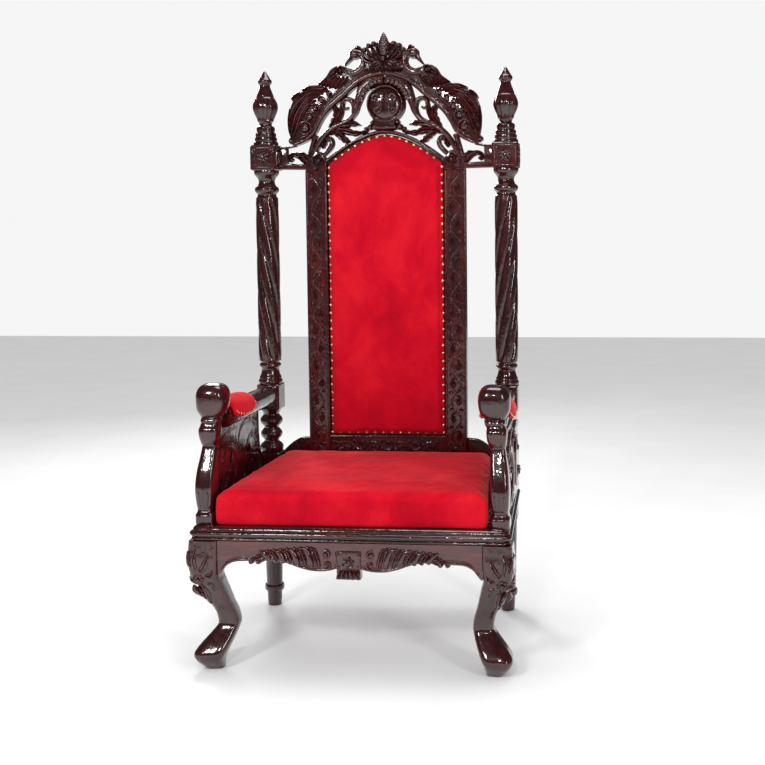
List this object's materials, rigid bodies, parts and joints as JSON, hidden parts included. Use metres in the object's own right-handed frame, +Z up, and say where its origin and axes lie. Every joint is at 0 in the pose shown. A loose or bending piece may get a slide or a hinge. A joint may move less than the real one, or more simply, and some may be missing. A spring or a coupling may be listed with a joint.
{
  "type": "carved throne armchair",
  "caption": "Tall carved dark wooden throne armchair with rope-turned rear posts, pierced bird cresting, cabriole front legs and red velvet cushions.",
  "frame": {"origin": "on the floor under the middle of the chair's box", "axes": "+Z up; -Y out of the front of the seat; +X to the right as seen from the front"},
  "size_m": [0.9, 0.6793, 1.826],
  "materials": {
    "mahogany": "dark red-brown mahogany under a high-gloss lacquer",
    "red_velvet": "bright red short-pile velvet"
  },
  "bodies": {
    "root": {"rear_post_left": "mahogany", "rear_post_right": "mahogany", "front_leg_left": "mahogany", "front_leg_right": "mahogany", "front_apron": "mahogany", "side_apron_left": "mahogany", "side_apron_right": "mahogany", "rear_apron": "mahogany", "seat_board": "mahogany", "seat_cushion": "red_velvet", "arm_post_left": "mahogany", "arm_post_right": "mahogany", "arm_rest_left": "mahogany", "arm_rest_right": "mahogany", "arm_pad_left": "red_velvet", "arm_pad_right": "red_velvet", "arm_panel_left": "mahogany", "arm_panel_right": "mahogany", "back_stile_left": "mahogany", "back_stile_right": "mahogany", "back_bottom_rail": "mahogany", "back_board": "mahogany", "back_pad": "red_velvet", "lower_panel_left": "mahogany", "lower_panel_right": "mahogany", "crest": "mahogany"}
  },
  "joints": []
}
